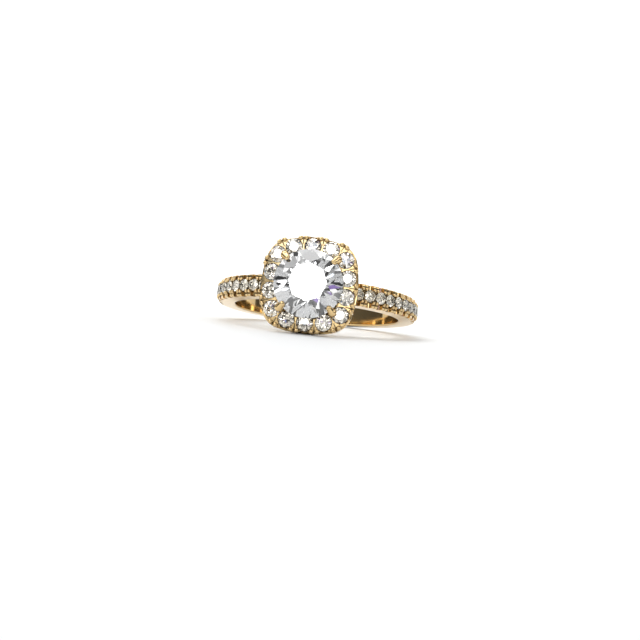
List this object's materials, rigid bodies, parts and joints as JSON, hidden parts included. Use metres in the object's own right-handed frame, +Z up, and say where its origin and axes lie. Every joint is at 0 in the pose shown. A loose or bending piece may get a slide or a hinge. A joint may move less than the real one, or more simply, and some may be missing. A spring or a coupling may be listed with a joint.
{
  "type": "halo ring",
  "caption": "Gold ring with a round claw-set centre stone in a cushion-shaped halo of small round stones, and shoulders set with one row of stones.",
  "frame": {"origin": "centre of the finger hole, on its axis and midway between the band's two sides", "axes": "the ring lies on its side on a level surface: -Y points from the finger hole towards the head, +X to the wearer's right seen from the head, +Z up; the finger hole's axis leans 9.14 degrees from +Z towards +Y, because the halo stands out past the band's side"},
  "size_m": [0.0214, 0.0246, 0.0092],
  "materials": {
    "gold": "polished 14 carat yellow gold with fine handling marks",
    "centre_stone": "clear colourless cut stone, polished facets",
    "halo_stones": "clear colourless cut stone, polished facets",
    "shoulder_stones": "clear colourless cut stone, polished facets"
  },
  "bodies": {
    "root": {"mounting": "gold", "centre_stone": "centre_stone", "halo_stone_01": "halo_stones", "halo_stone_02": "halo_stones", "halo_stone_03": "halo_stones", "halo_stone_04": "halo_stones", "halo_stone_05": "halo_stones", "halo_stone_06": "halo_stones", "halo_stone_07": "halo_stones", "halo_stone_08": "halo_stones", "halo_stone_09": "halo_stones", "halo_stone_10": "halo_stones", "halo_stone_11": "halo_stones", "halo_stone_12": "halo_stones", "halo_stone_13": "halo_stones", "halo_stone_14": "halo_stones", "left_stone_01": "shoulder_stones", "left_stone_02": "shoulder_stones", "left_stone_03": "shoulder_stones", "left_stone_04": "shoulder_stones", "left_stone_05": "shoulder_stones", "left_stone_06": "shoulder_stones", "left_stone_07": "shoulder_stones", "left_stone_08": "shoulder_stones", "left_stone_09": "shoulder_stones", "left_stone_10": "shoulder_stones", "right_stone_01": "shoulder_stones", "right_stone_02": "shoulder_stones", "right_stone_03": "shoulder_stones", "right_stone_04": "shoulder_stones", "right_stone_05": "shoulder_stones", "right_stone_06": "shoulder_stones", "right_stone_07": "shoulder_stones", "right_stone_08": "shoulder_stones", "right_stone_09": "shoulder_stones", "right_stone_10": "shoulder_stones"}
  },
  "joints": []
}
